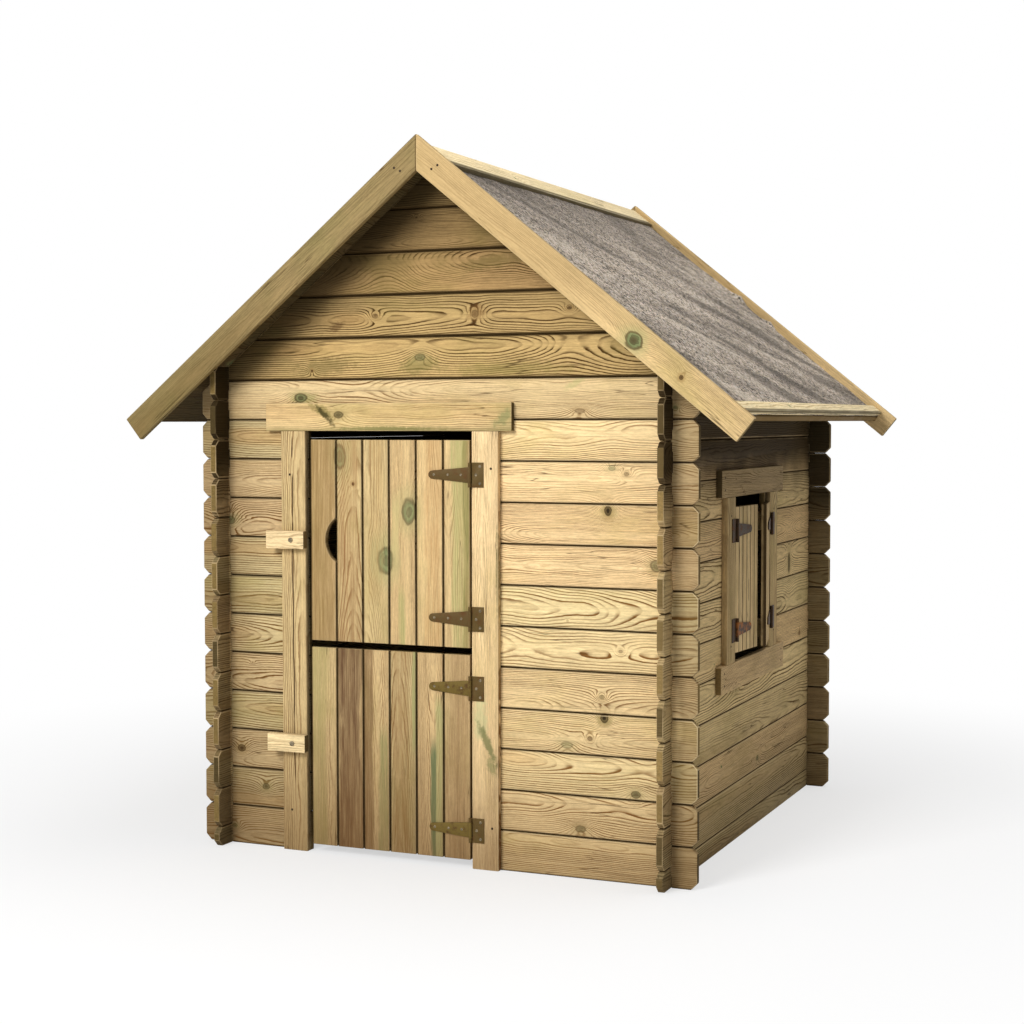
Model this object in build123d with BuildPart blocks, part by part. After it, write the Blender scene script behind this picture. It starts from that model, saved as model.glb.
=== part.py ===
"""Log-cabin playhouse of interlocked boards, with a stable door, a shuttered window and a felted roof."""
import os
from math import cos, radians, sin, tan

from build123d import *

os.makedirs("parts", exist_ok=True)

# Wall boards, called logs
log_height = 96.0
log_thickness = 16.0
log_tail = 61.0
tail_chamfer = 15.0
course_gap = 0.5
notch_fit = 0.3
seam_bevel = 3.0
wall_width = 1168.0
wall_depth = 1263.0
wall_courses = 12
door_courses = 11
notch_share = 0.25
side_shift_share = 0.5
side_top_share = 0.25
gable_pitch = 100.0
gable_boards = 5

# Roof
roof_pitch = 39.08
deck_thickness = 16.0
felt_thickness = 2.5
roof_front_overhang = 103.0
roof_rear_overhang = 158.0
barge_thickness = 16.0
barge_width = 65.0
barge_above_felt = 26.0
barge_half_span = 801.0
barge_past_deck = 44.0
ridge_strip_width = 45.0
eaves_strip_width = 33.0
roof_strip_thickness = 14.0
seat_gap = 0.3

# Stable door
trim_thickness = 16.0
trim_width = 67.0
doorway_left = -344.0
doorway_width = 443.0
head_trim_left = -453.0
head_trim_length = 653.0
head_trim_base = 1029.0
leaf_left = -331.0
leaf_width = 424.0
leaf_boards = 6
leaf_board_gap = 3.0
leaf_thickness = 16.0
leaf_recess = 2.0
leaf_base = 20.0
leaf_split = 513.0
leaf_split_gap = 16.0
leaf_top = 1008.0
ledge_height = 66.0
ledge_thickness = 16.0
ledge_inset = 67.0
ledge_end_inset = 40.0
finger_hole_height = 766.0
finger_hole_half_length = 53.0
finger_hole_depth = 28.0

# Tee hinges
sheet = 2.0
strap_sheet = 3.0
plate_width = 34.0
plate_height = 58.0
strap_length = 108.0
strap_root = 37.0
strap_tip_radius = 9.5
knuckle_radius = 4.0
knuckle_stand_off = 4.3
knuckle_gap = 0.5
pin_radius = 2.0
pin_clearance = 0.05
hinge_x = 96.0
hinge_heights = (927.0, 590.0, 427.0, 92.0)

# Turn buttons
button_length = 104.0
button_height = 43.0
button_thickness = 18.0
button_short_arm = 35.0
button_corner = 2.0
button_x = -373.5
button_heights = (765.0, 268.0)
button_screw_radius = 3.0
button_screw_clearance = 0.05
button_screw_head_radius = 6.0
button_screw_head = 2.0
button_washer_radius = 8.0
button_washer = 3.0

# Shuttered window in the right wall
window_from_front = 450.0
window_width = 327.0
window_base_course = 5
window_top_course = 10
window_head_from_front = 335.0
window_head_length = 566.0
window_head_base = 866.0
window_sill_from_front = 334.0
window_sill_length = 580.0
window_sill_base = 390.0
shutter_base_gap = 22.0
shutter_top_gap = 25.0
shutter_edge_gap = 4.0
shutter_meeting_gap = 6.0
shutter_boards = 3
shutter_board_gap = 2.0
shutter_thickness = 14.0
shutter_recess = 2.0
shutter_ledge_inset = 45.0
shutter_ledge_height = 45.0
shutter_ledge_thickness = 14.0
shutter_ledge_end = 22.0
front_shutter_angle = 5.0
rear_shutter_angle = 12.5
shutter_hinge_inset = 58.0

# Derived sizes
half_width = wall_width / 2
roof_half_length = (roof_front_overhang + wall_depth + roof_rear_overhang) / 2
front_face = roof_front_overhang - roof_half_length
rear_face = roof_half_length - roof_rear_overhang
front_inside = front_face + log_thickness
rear_inside = rear_face - log_thickness
side_inside = half_width - log_thickness
wall_top = wall_courses * log_height
eaves_height = wall_top + side_top_share * log_height
slope_rise = tan(radians(roof_pitch))
slope_cos = cos(radians(roof_pitch))
slope_sin = sin(radians(roof_pitch))
underside_apex = eaves_height + half_width * slope_rise
felt_base = deck_thickness + seat_gap
felt_top = felt_base + felt_thickness
strip_base = felt_top + seat_gap
strip_top = strip_base + roof_strip_thickness
barge_top = felt_top + barge_above_felt
barge_base = barge_top - barge_width
barge_length = (barge_half_span - barge_top * slope_sin) / slope_cos
deck_length = barge_length - barge_past_deck
deck_half_length = roof_half_length - barge_thickness - seat_gap
trim_face = front_face - trim_thickness
doorway_right = doorway_left + doorway_width
window_front = front_face + window_from_front
window_rear = window_front + window_width
window_trim_face = half_width + trim_thickness
tail_left = -half_width - log_tail
tail_right = half_width + log_tail
tail_front = front_face - log_tail
tail_rear = rear_face + log_tail
left_column = log_thickness / 2 - half_width
right_column = half_width - log_thickness / 2
front_column = front_face + log_thickness / 2
rear_column = rear_face - log_thickness / 2
notch_half = log_thickness / 2 + notch_fit
upper_base = leaf_split + leaf_split_gap / 2
lower_top = leaf_split - leaf_split_gap / 2
leaf_pitch = (leaf_width + leaf_board_gap) / leaf_boards
finger_hole_radius = (finger_hole_half_length**2 + finger_hole_depth**2) / (2 * finger_hole_depth)
finger_hole_edge = leaf_left + leaf_pitch - leaf_board_gap
button_front = button_washer + seat_gap + button_thickness + seat_gap
sill_top = window_sill_base + trim_width
shutter_base = sill_top + shutter_base_gap
shutter_top = window_head_base - shutter_top_gap
window_head_middle = front_face + window_head_from_front + window_head_length / 2
window_sill_middle = front_face + window_sill_from_front + window_sill_length / 2
shutter_width = (window_width - shutter_meeting_gap) / 2 - shutter_edge_gap
shutter_pitch = (shutter_width + shutter_board_gap) / shutter_boards
shutter_middle = (shutter_base + shutter_top) / 2
shutter_hinge_heights = (shutter_base + shutter_hinge_inset, shutter_top - shutter_hinge_inset)

# Planes of the walls' outer faces, the door's trims and the door's leaves
front_plane = Plane.XZ.offset(-front_face)
rear_plane = Plane.XZ.offset(-rear_face)
left_plane = Plane.YZ.offset(-half_width)
right_plane = Plane.YZ.offset(half_width)
trim_plane = Plane.XZ.offset(-trim_face)
leaf_plane = Plane.XZ.offset(-trim_face - leaf_recess)


def log_outline(low, high, base, top, columns, notch_base, notch_top, low_tail, high_tail):
    """Side view of one log: tails with cut corners, and a notch above and below at each crossing wall."""
    points = []
    low_cut = tail_chamfer if low_tail else 0
    high_cut = tail_chamfer if high_tail else 0
    if low_tail:
        points.append((low, base + low_cut))
    points.append((low + low_cut, base))
    if notch_base is not None:
        for column in columns:
            points.append((column - notch_half, base))
            points.append((column - notch_half, notch_base))
            points.append((column + notch_half, notch_base))
            points.append((column + notch_half, base))
    points.append((high - high_cut, base))
    if high_tail:
        points.append((high, base + high_cut))
        points.append((high, top - high_cut))
    points.append((high - high_cut, top))
    if notch_top is not None:
        for column in reversed(columns):
            points.append((column + notch_half, top))
            points.append((column + notch_half, notch_top))
            points.append((column - notch_half, notch_top))
            points.append((column - notch_half, top))
    points.append((low + low_cut, top))
    if low_tail:
        points.append((low, top - low_cut))
    return points


def front_log(course, low, high, columns, low_tail=True, high_tail=True):
    """One course of the front or rear wall."""
    base = course * log_height
    top = base + log_height - course_gap
    core_base = base + notch_share * log_height + notch_fit
    core_top = base + log_height - notch_share * log_height - notch_fit
    return log_outline(low, high, base, top, columns, core_base, core_top, low_tail, high_tail)


def side_log(course, low, high, columns, low_tail=True, high_tail=True):
    """One course of a side wall, half a log above the front wall's courses; the first is a half log."""
    middle = course * log_height
    base = max(0, middle - side_shift_share * log_height)
    top = middle + side_shift_share * log_height - course_gap
    core_base = None
    core_top = middle + notch_share * log_height - notch_fit
    if course > 0:
        core_base = middle - notch_share * log_height + notch_fit
    if course == wall_courses:
        top = eaves_height + log_thickness * slope_rise
        core_top = None
    return log_outline(low, high, base, top, columns, core_base, core_top, low_tail, high_tail)


def seam_vees(outer, inner, seams):
    """Small vees along the seams between courses, on both faces of a wall, in the wall's section."""
    vees = []
    for seam in seams:
        for face in (outer, inner):
            middle = seam - course_gap / 2
            low = (face, middle - seam_bevel)
            high = (face, middle + seam_bevel)
            vees.append(((face - seam_bevel, middle), low, (face + seam_bevel, middle), high))
    return vees


def front_seams(first, last):
    """Heights of the seams of the front or rear wall."""
    return [course * log_height for course in range(first, last)]


def side_seams(first, last):
    """Heights of the seams of a side wall."""
    return [(course + side_shift_share) * log_height for course in range(first, last)]


def gable_seams():
    """Heights of the seams of a gable."""
    return [wall_top + board * gable_pitch for board in range(gable_boards)]


def above_roof(side):
    """Section of the space above the deck's underside at one wall head, cut from the logs that reach it."""
    inside = half_width - 2 * log_thickness
    outside = half_width + 2 * log_tail
    return (
        (side * outside, underside_apex - outside * slope_rise - seat_gap),
        (side * inside, underside_apex - inside * slope_rise - seat_gap),
        (side * outside, underside_apex),
    )


def gable_outline(board):
    """One gable board between the two slopes of the roof deck."""
    base = wall_top + board * gable_pitch
    top = base + gable_pitch - course_gap
    apex = underside_apex - seat_gap / slope_cos
    base_half = min((apex - base) / slope_rise, half_width - log_thickness - notch_fit)
    corner = apex - base_half * slope_rise
    points = [(-base_half, base), (base_half, base)]
    if corner > base:
        points.append((base_half, corner))
    if board < gable_boards - 1:
        points.append(((apex - top) / slope_rise, top))
        points.append((-(apex - top) / slope_rise, top))
    else:
        points.append((0, apex))
    if corner > base:
        points.append((-base_half, corner))
    return points


def roof_point(side, along, above):
    """A point in the roof's section: along the slope from the ridge, and above the deck's underside."""
    across = along * slope_cos + above * slope_sin
    height = underside_apex - along * slope_sin + above * slope_cos
    return (side * across, height)


def plumb(above):
    """Distance along the slope at which a layer meets the plumb line of the ridge, with half a seat gap."""
    return (seat_gap / 2 - above * slope_sin) / slope_cos


def roof_layer(side, base, top, end, start=None):
    """Section of a roof layer on one slope, cut plumb at the ridge and square at the eaves."""
    return (
        roof_point(side, plumb(base) if start is None else start, base),
        roof_point(side, end, base),
        roof_point(side, end, top),
        roof_point(side, plumb(top) if start is None else start, top),
    )


def across_axis(seat, start):
    """Plane square to a hinge's axis, at a distance along it from the hinge's middle."""
    return Plane(seat.from_local_coords((0, start, knuckle_stand_off)), seat.x_dir, seat.y_dir)


def add_knuckle(seat, start, end):
    """One knuckle of a hinge, along the seat's y."""
    with BuildSketch(across_axis(seat, start)) as outline:
        Circle(knuckle_radius)
    extrude(outline.sketch, amount=end - start)


def add_plate(seat):
    """Fixed half of a tee hinge: plate, two outer knuckles and the pin."""
    half_root = strap_root / 2 + knuckle_gap
    with BuildSketch(seat) as outline:
        with Locations((plate_width / 2, 0)):
            Rectangle(plate_width, plate_height)
        with Locations((knuckle_radius / 2, 0)):
            Rectangle(knuckle_radius + 2 * knuckle_gap, 2 * half_root, mode=Mode.SUBTRACT)
    extrude(outline.sketch, amount=sheet)
    add_knuckle(seat, half_root, plate_height / 2)
    add_knuckle(seat, -plate_height / 2, -half_root)
    with BuildSketch(across_axis(seat, -plate_height / 2)) as outline:
        Circle(pin_radius)
    extrude(outline.sketch, amount=plate_height)


def add_strap(seat, recess):
    """Moving half of a tee hinge: middle knuckle and tapered strap with a round tip."""
    tip = strap_tip_radius - strap_length
    add_knuckle(seat, -strap_root / 2, strap_root / 2)
    with BuildSketch(seat.offset(strap_sheet - recess)) as outline:
        Polygon(
            (0, -strap_root / 2),
            (0, strap_root / 2),
            (tip, strap_tip_radius),
            (tip, -strap_tip_radius),
            align=None,
        )
        with Locations((tip, 0)):
            Circle(strap_tip_radius)
    extrude(outline.sketch, amount=-strap_sheet)
    with BuildSketch(across_axis(seat, -strap_root)) as outline:
        Circle(pin_radius + pin_clearance)
    extrude(outline.sketch, amount=2 * strap_root, mode=Mode.SUBTRACT)


def hinge_seat(height):
    """Seat of one door hinge on the face of the right-hand trim."""
    return Plane((hinge_x, trim_face, height), (1, 0, 0), (0, -1, 0))


def shutter_face(axis_y, ajar, turn):
    """Outer face of a shutter as it stands ajar: x runs from its hinge to its free edge."""
    along = Vector(sin(radians(ajar)), turn * cos(radians(ajar)), 0)
    outward = Vector(cos(radians(ajar)), -turn * sin(radians(ajar)), 0)
    axis = Vector(window_trim_face + knuckle_stand_off, axis_y, 0)
    return Plane(axis - outward * knuckle_stand_off, along, outward)


front_shutter_axis = window_front + shutter_edge_gap / 2
rear_shutter_axis = window_rear - shutter_edge_gap / 2
front_shutter_face = shutter_face(front_shutter_axis, front_shutter_angle, 1)
rear_shutter_face = shutter_face(rear_shutter_axis, rear_shutter_angle, -1)
front_up = front_shutter_face.y_dir.Z
rear_up = rear_shutter_face.y_dir.Z

# Front wall, split by the doorway
with BuildPart() as front_wall_left:
    with BuildSketch(front_plane):
        for course in range(door_courses):
            Polygon(*front_log(course, tail_left, doorway_left, [left_column], high_tail=False), align=None)
    extrude(amount=-log_thickness)
    with BuildSketch(left_plane.offset(-log_tail)):
        for vee in seam_vees(front_face, front_inside, front_seams(1, door_courses + 1)):
            Polygon(*vee, align=None)
    extrude(amount=doorway_left - tail_left, mode=Mode.SUBTRACT)
front_wall_left.part.label = "front_wall_left"

with BuildPart() as front_wall_right:
    with BuildSketch(front_plane):
        for course in range(door_courses):
            Polygon(*front_log(course, doorway_right, tail_right, [right_column], low_tail=False), align=None)
    extrude(amount=-log_thickness)
    with BuildSketch(right_plane.offset(log_tail)):
        for vee in seam_vees(front_face, front_inside, front_seams(1, door_courses + 1)):
            Polygon(*vee, align=None)
    extrude(amount=doorway_right - tail_right, mode=Mode.SUBTRACT)
front_wall_right.part.label = "front_wall_right"

with BuildPart() as front_wall_top:
    with BuildSketch(front_plane):
        for course in range(door_courses, wall_courses):
            Polygon(*front_log(course, tail_left, tail_right, [left_column, right_column]), align=None)
    extrude(amount=-log_thickness)
    with BuildSketch(left_plane.offset(-log_tail)):
        for vee in seam_vees(front_face, front_inside, front_seams(door_courses, wall_courses + 1)):
            Polygon(*vee, align=None)
    extrude(amount=tail_right - tail_left, mode=Mode.SUBTRACT)
    with BuildSketch(front_plane):
        for side in (-1, 1):
            Polygon(*above_roof(side), align=None)
    extrude(amount=-log_thickness, mode=Mode.SUBTRACT)
front_wall_top.part.label = "front_wall_top"

with BuildPart() as front_gable:
    with BuildSketch(front_plane):
        for board in range(gable_boards):
            Polygon(*gable_outline(board), align=None)
    extrude(amount=-log_thickness)
    with BuildSketch(left_plane):
        for vee in seam_vees(front_face, front_inside, gable_seams()):
            Polygon(*vee, align=None)
    extrude(amount=wall_width, mode=Mode.SUBTRACT)
front_gable.part.label = "front_gable"

# Rear wall, the same courses with no opening
with BuildPart() as rear_wall:
    with BuildSketch(rear_plane):
        for course in range(wall_courses):
            Polygon(*front_log(course, tail_left, tail_right, [left_column, right_column]), align=None)
    extrude(amount=log_thickness)
    with BuildSketch(left_plane.offset(-log_tail)):
        for vee in seam_vees(rear_face, rear_inside, front_seams(1, wall_courses + 1)):
            Polygon(*vee, align=None)
    extrude(amount=tail_right - tail_left, mode=Mode.SUBTRACT)
    with BuildSketch(rear_plane):
        for side in (-1, 1):
            Polygon(*above_roof(side), align=None)
    extrude(amount=log_thickness, mode=Mode.SUBTRACT)
rear_wall.part.label = "rear_wall"

with BuildPart() as rear_gable:
    with BuildSketch(rear_plane):
        for board in range(gable_boards):
            Polygon(*gable_outline(board), align=None)
    extrude(amount=log_thickness)
    with BuildSketch(left_plane):
        for vee in seam_vees(rear_face, rear_inside, gable_seams()):
            Polygon(*vee, align=None)
    extrude(amount=wall_width, mode=Mode.SUBTRACT)
rear_gable.part.label = "rear_gable"

# Side walls, half a log out of step with the front and rear walls
with BuildPart() as left_wall:
    with BuildSketch(left_plane):
        for course in range(wall_courses + 1):
            Polygon(*side_log(course, tail_front, tail_rear, [front_column, rear_column]), align=None)
    extrude(amount=log_thickness)
    with BuildSketch(front_plane.offset(log_tail)):
        for vee in seam_vees(-half_width, -side_inside, side_seams(0, wall_courses)):
            Polygon(*vee, align=None)
        Polygon(*above_roof(-1), align=None)
    extrude(amount=tail_front - tail_rear, mode=Mode.SUBTRACT)
left_wall.part.label = "left_wall"

with BuildPart() as right_wall_bottom:
    with BuildSketch(right_plane):
        for course in range(window_base_course):
            Polygon(*side_log(course, tail_front, tail_rear, [front_column, rear_column]), align=None)
    extrude(amount=-log_thickness)
    with BuildSketch(front_plane.offset(log_tail)):
        for vee in seam_vees(half_width, side_inside, side_seams(0, window_base_course)):
            Polygon(*vee, align=None)
    extrude(amount=tail_front - tail_rear, mode=Mode.SUBTRACT)
right_wall_bottom.part.label = "right_wall_bottom"

beside_window = side_seams(window_base_course - 1, window_top_course)
with BuildPart() as right_wall_front:
    with BuildSketch(right_plane):
        for course in range(window_base_course, window_top_course):
            Polygon(*side_log(course, tail_front, window_front, [front_column], high_tail=False), align=None)
    extrude(amount=-log_thickness)
    with BuildSketch(front_plane.offset(log_tail)):
        for vee in seam_vees(half_width, side_inside, beside_window):
            Polygon(*vee, align=None)
    extrude(amount=tail_front - window_front, mode=Mode.SUBTRACT)
right_wall_front.part.label = "right_wall_front"

with BuildPart() as right_wall_rear:
    with BuildSketch(right_plane):
        for course in range(window_base_course, window_top_course):
            Polygon(*side_log(course, window_rear, tail_rear, [rear_column], low_tail=False), align=None)
    extrude(amount=-log_thickness)
    with BuildSketch(rear_plane.offset(-log_tail)):
        for vee in seam_vees(half_width, side_inside, beside_window):
            Polygon(*vee, align=None)
    extrude(amount=tail_rear - window_rear, mode=Mode.SUBTRACT)
right_wall_rear.part.label = "right_wall_rear"

with BuildPart() as right_wall_top:
    with BuildSketch(right_plane):
        for course in range(window_top_course, wall_courses + 1):
            Polygon(*side_log(course, tail_front, tail_rear, [front_column, rear_column]), align=None)
    extrude(amount=-log_thickness)
    with BuildSketch(front_plane.offset(log_tail)):
        for vee in seam_vees(half_width, side_inside, side_seams(window_top_course - 1, wall_courses)):
            Polygon(*vee, align=None)
        Polygon(*above_roof(1), align=None)
    extrude(amount=tail_front - tail_rear, mode=Mode.SUBTRACT)
right_wall_top.part.label = "right_wall_top"

# Roof
deck_front = Plane.XZ.offset(deck_half_length)
with BuildPart() as roof_deck_left:
    with BuildSketch(deck_front):
        Polygon(*roof_layer(-1, 0, deck_thickness, deck_length), align=None)
    extrude(amount=-2 * deck_half_length)
roof_deck_left.part.label = "roof_deck_left"

with BuildPart() as roof_deck_right:
    with BuildSketch(deck_front):
        Polygon(*roof_layer(1, 0, deck_thickness, deck_length), align=None)
    extrude(amount=-2 * deck_half_length)
roof_deck_right.part.label = "roof_deck_right"

with BuildPart() as roof_felt_left:
    with BuildSketch(deck_front):
        Polygon(*roof_layer(-1, felt_base, felt_top, deck_length), align=None)
    extrude(amount=-2 * deck_half_length)
roof_felt_left.part.label = "roof_felt_left"

with BuildPart() as roof_felt_right:
    with BuildSketch(deck_front):
        Polygon(*roof_layer(1, felt_base, felt_top, deck_length), align=None)
    extrude(amount=-2 * deck_half_length)
roof_felt_right.part.label = "roof_felt_right"

with BuildPart() as ridge_strip_left:
    with BuildSketch(deck_front):
        Polygon(*roof_layer(-1, strip_base, strip_top, ridge_strip_width), align=None)
    extrude(amount=-2 * deck_half_length)
ridge_strip_left.part.label = "ridge_strip_left"

with BuildPart() as ridge_strip_right:
    with BuildSketch(deck_front):
        Polygon(*roof_layer(1, strip_base, strip_top, ridge_strip_width), align=None)
    extrude(amount=-2 * deck_half_length)
ridge_strip_right.part.label = "ridge_strip_right"

eaves_strip_start = deck_length - eaves_strip_width
with BuildPart() as eaves_strip_left:
    with BuildSketch(deck_front):
        Polygon(*roof_layer(-1, strip_base, strip_top, deck_length, eaves_strip_start), align=None)
    extrude(amount=-2 * deck_half_length)
eaves_strip_left.part.label = "eaves_strip_left"

with BuildPart() as eaves_strip_right:
    with BuildSketch(deck_front):
        Polygon(*roof_layer(1, strip_base, strip_top, deck_length, eaves_strip_start), align=None)
    extrude(amount=-2 * deck_half_length)
eaves_strip_right.part.label = "eaves_strip_right"

with BuildPart() as front_barge_left:
    with BuildSketch(Plane.XZ.offset(roof_half_length)):
        Polygon(*roof_layer(-1, barge_base, barge_top, barge_length), align=None)
    extrude(amount=-barge_thickness)
front_barge_left.part.label = "front_barge_left"

with BuildPart() as front_barge_right:
    with BuildSketch(Plane.XZ.offset(roof_half_length)):
        Polygon(*roof_layer(1, barge_base, barge_top, barge_length), align=None)
    extrude(amount=-barge_thickness)
front_barge_right.part.label = "front_barge_right"

with BuildPart() as rear_barge_left:
    with BuildSketch(Plane.XZ.offset(-roof_half_length)):
        Polygon(*roof_layer(-1, barge_base, barge_top, barge_length), align=None)
    extrude(amount=barge_thickness)
rear_barge_left.part.label = "rear_barge_left"

with BuildPart() as rear_barge_right:
    with BuildSketch(Plane.XZ.offset(-roof_half_length)):
        Polygon(*roof_layer(1, barge_base, barge_top, barge_length), align=None)
    extrude(amount=barge_thickness)
rear_barge_right.part.label = "rear_barge_right"

# Trims around the doorway
door_trim_height = head_trim_base - seat_gap
with BuildPart() as door_trim_left:
    with BuildSketch(front_plane):
        with Locations((doorway_left - trim_width / 2, door_trim_height / 2)):
            Rectangle(trim_width, door_trim_height)
    extrude(amount=trim_thickness)
door_trim_left.part.label = "door_trim_left"

with BuildPart() as door_trim_right:
    with BuildSketch(front_plane):
        with Locations((doorway_right + trim_width / 2, door_trim_height / 2)):
            Rectangle(trim_width, door_trim_height)
    extrude(amount=trim_thickness)
door_trim_right.part.label = "door_trim_right"

with BuildPart() as door_trim_head:
    with BuildSketch(front_plane):
        with Locations((head_trim_left + head_trim_length / 2, head_trim_base + trim_width / 2)):
            Rectangle(head_trim_length, trim_width)
    extrude(amount=trim_thickness)
door_trim_head.part.label = "door_trim_head"

with BuildPart() as door_hinge_plates:
    for height in hinge_heights:
        add_plate(hinge_seat(height))
door_hinge_plates.part.label = "door_hinge_plates"

# Door leaves: upright boards, ledges across their backs and the moving halves of the hinges
leaf_middle = leaf_left + leaf_width / 2
board_width = leaf_pitch - leaf_board_gap
with BuildPart() as upper_door_boards:
    with BuildSketch(leaf_plane):
        with Locations((leaf_left + board_width / 2, (upper_base + leaf_top) / 2)):
            Rectangle(board_width, leaf_top - upper_base)
        with Locations((finger_hole_edge + finger_hole_radius - finger_hole_depth, finger_hole_height)):
            Circle(finger_hole_radius, mode=Mode.SUBTRACT)
        for board in range(1, leaf_boards):
            with Locations((leaf_left + board * leaf_pitch + board_width / 2, (upper_base + leaf_top) / 2)):
                Rectangle(board_width, leaf_top - upper_base)
    extrude(amount=-leaf_thickness)
upper_door_boards.part.label = "upper_door_boards"

with BuildPart() as upper_door_ledges:
    with BuildSketch(leaf_plane.offset(-leaf_thickness - seat_gap)):
        for middle in (upper_base + ledge_inset, leaf_top - ledge_inset):
            with Locations((leaf_middle, middle)):
                Rectangle(leaf_width - 2 * ledge_end_inset, ledge_height)
    extrude(amount=-ledge_thickness)
upper_door_ledges.part.label = "upper_door_ledges"

with BuildPart() as upper_door_straps:
    for height in hinge_heights[:2]:
        add_strap(hinge_seat(height), leaf_recess)
upper_door_straps.part.label = "upper_door_straps"

with BuildPart() as lower_door_boards:
    with BuildSketch(leaf_plane):
        for board in range(leaf_boards):
            with Locations((leaf_left + board * leaf_pitch + board_width / 2, (leaf_base + lower_top) / 2)):
                Rectangle(board_width, lower_top - leaf_base)
    extrude(amount=-leaf_thickness)
lower_door_boards.part.label = "lower_door_boards"

with BuildPart() as lower_door_ledges:
    with BuildSketch(leaf_plane.offset(-leaf_thickness - seat_gap)):
        for middle in (leaf_base + ledge_inset, lower_top - ledge_inset):
            with Locations((leaf_middle, middle)):
                Rectangle(leaf_width - 2 * ledge_end_inset, ledge_height)
    extrude(amount=-ledge_thickness)
lower_door_ledges.part.label = "lower_door_ledges"

with BuildPart() as lower_door_straps:
    for height in hinge_heights[2:]:
        add_strap(hinge_seat(height), leaf_recess)
lower_door_straps.part.label = "lower_door_straps"

# Turn buttons, turned aside so that the door is free
button_middle = button_x + button_short_arm - button_length / 2
with BuildPart() as upper_turn_button:
    with BuildSketch(trim_plane.offset(button_washer + seat_gap)):
        with Locations((button_middle, button_heights[0])):
            RectangleRounded(button_length, button_height, button_corner)
        with Locations((button_x, button_heights[0])):
            Circle(button_screw_radius + button_screw_clearance, mode=Mode.SUBTRACT)
    extrude(amount=button_thickness)
upper_turn_button.part.label = "upper_turn_button"

with BuildPart() as lower_turn_button:
    with BuildSketch(trim_plane.offset(button_washer + seat_gap)):
        with Locations((button_middle, button_heights[1])):
            RectangleRounded(button_length, button_height, button_corner)
        with Locations((button_x, button_heights[1])):
            Circle(button_screw_radius + button_screw_clearance, mode=Mode.SUBTRACT)
    extrude(amount=button_thickness)
lower_turn_button.part.label = "lower_turn_button"

with BuildPart() as turn_button_screws:
    with BuildSketch(trim_plane):
        for height in button_heights:
            with Locations((button_x, height)):
                Circle(button_washer_radius)
    extrude(amount=button_washer)
    with BuildSketch(trim_plane):
        for height in button_heights:
            with Locations((button_x, height)):
                Circle(button_screw_radius)
    extrude(amount=button_front)
    with BuildSketch(trim_plane.offset(button_front)):
        for height in button_heights:
            with Locations((button_x, height)):
                Circle(button_screw_head_radius)
    extrude(amount=button_screw_head)
turn_button_screws.part.label = "turn_button_screws"

# Trims around the window
with BuildPart() as window_trim_head:
    with BuildSketch(right_plane):
        with Locations((window_head_middle, window_head_base + trim_width / 2)):
            Rectangle(window_head_length, trim_width)
    extrude(amount=trim_thickness)
window_trim_head.part.label = "window_trim_head"

with BuildPart() as window_trim_sill:
    with BuildSketch(right_plane):
        with Locations((window_sill_middle, sill_top - trim_width / 2)):
            Rectangle(window_sill_length, trim_width)
    extrude(amount=trim_thickness)
window_trim_sill.part.label = "window_trim_sill"

with BuildPart() as window_trim_front:
    with BuildSketch(right_plane):
        with Locations((window_front - trim_width / 2, (sill_top + window_head_base) / 2)):
            Rectangle(trim_width, window_head_base - sill_top - 2 * seat_gap)
    extrude(amount=trim_thickness)
window_trim_front.part.label = "window_trim_front"

with BuildPart() as window_trim_rear:
    with BuildSketch(right_plane):
        with Locations((window_rear + trim_width / 2, (sill_top + window_head_base) / 2)):
            Rectangle(trim_width, window_head_base - sill_top - 2 * seat_gap)
    extrude(amount=trim_thickness)
window_trim_rear.part.label = "window_trim_rear"

# Shutters, standing ajar
shutter_board_width = shutter_pitch - shutter_board_gap
shutter_start = shutter_edge_gap / 2
shutter_ledge_middles = (shutter_base + shutter_ledge_inset, shutter_top - shutter_ledge_inset)
with BuildPart() as front_shutter_boards:
    with BuildSketch(front_shutter_face.offset(-shutter_recess)):
        for board in range(shutter_boards):
            middle = shutter_start + board * shutter_pitch + shutter_board_width / 2
            with Locations((middle, front_up * shutter_middle)):
                Rectangle(shutter_board_width, shutter_top - shutter_base)
    extrude(amount=-shutter_thickness)
front_shutter_boards.part.label = "front_shutter_boards"

with BuildPart() as front_shutter_ledges:
    with BuildSketch(front_shutter_face.offset(-shutter_recess - shutter_thickness - seat_gap)):
        for height in shutter_ledge_middles:
            with Locations((shutter_start + shutter_width / 2, front_up * height)):
                Rectangle(shutter_width - 2 * shutter_ledge_end, shutter_ledge_height)
    extrude(amount=-shutter_ledge_thickness)
front_shutter_ledges.part.label = "front_shutter_ledges"

with BuildPart() as rear_shutter_boards:
    with BuildSketch(rear_shutter_face.offset(-shutter_recess)):
        for board in range(shutter_boards):
            middle = shutter_start + board * shutter_pitch + shutter_board_width / 2
            with Locations((middle, rear_up * shutter_middle)):
                Rectangle(shutter_board_width, shutter_top - shutter_base)
    extrude(amount=-shutter_thickness)
rear_shutter_boards.part.label = "rear_shutter_boards"

with BuildPart() as rear_shutter_ledges:
    with BuildSketch(rear_shutter_face.offset(-shutter_recess - shutter_thickness - seat_gap)):
        for height in shutter_ledge_middles:
            with Locations((shutter_start + shutter_width / 2, rear_up * height)):
                Rectangle(shutter_width - 2 * shutter_ledge_end, shutter_ledge_height)
    extrude(amount=-shutter_ledge_thickness)
rear_shutter_ledges.part.label = "rear_shutter_ledges"

with BuildPart() as shutter_hinge_plates:
    for height in shutter_hinge_heights:
        add_plate(Plane((window_trim_face, front_shutter_axis, height), (0, -1, 0), (1, 0, 0)))
        add_plate(Plane((window_trim_face, rear_shutter_axis, height), (0, 1, 0), (1, 0, 0)))
shutter_hinge_plates.part.label = "shutter_hinge_plates"

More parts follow.
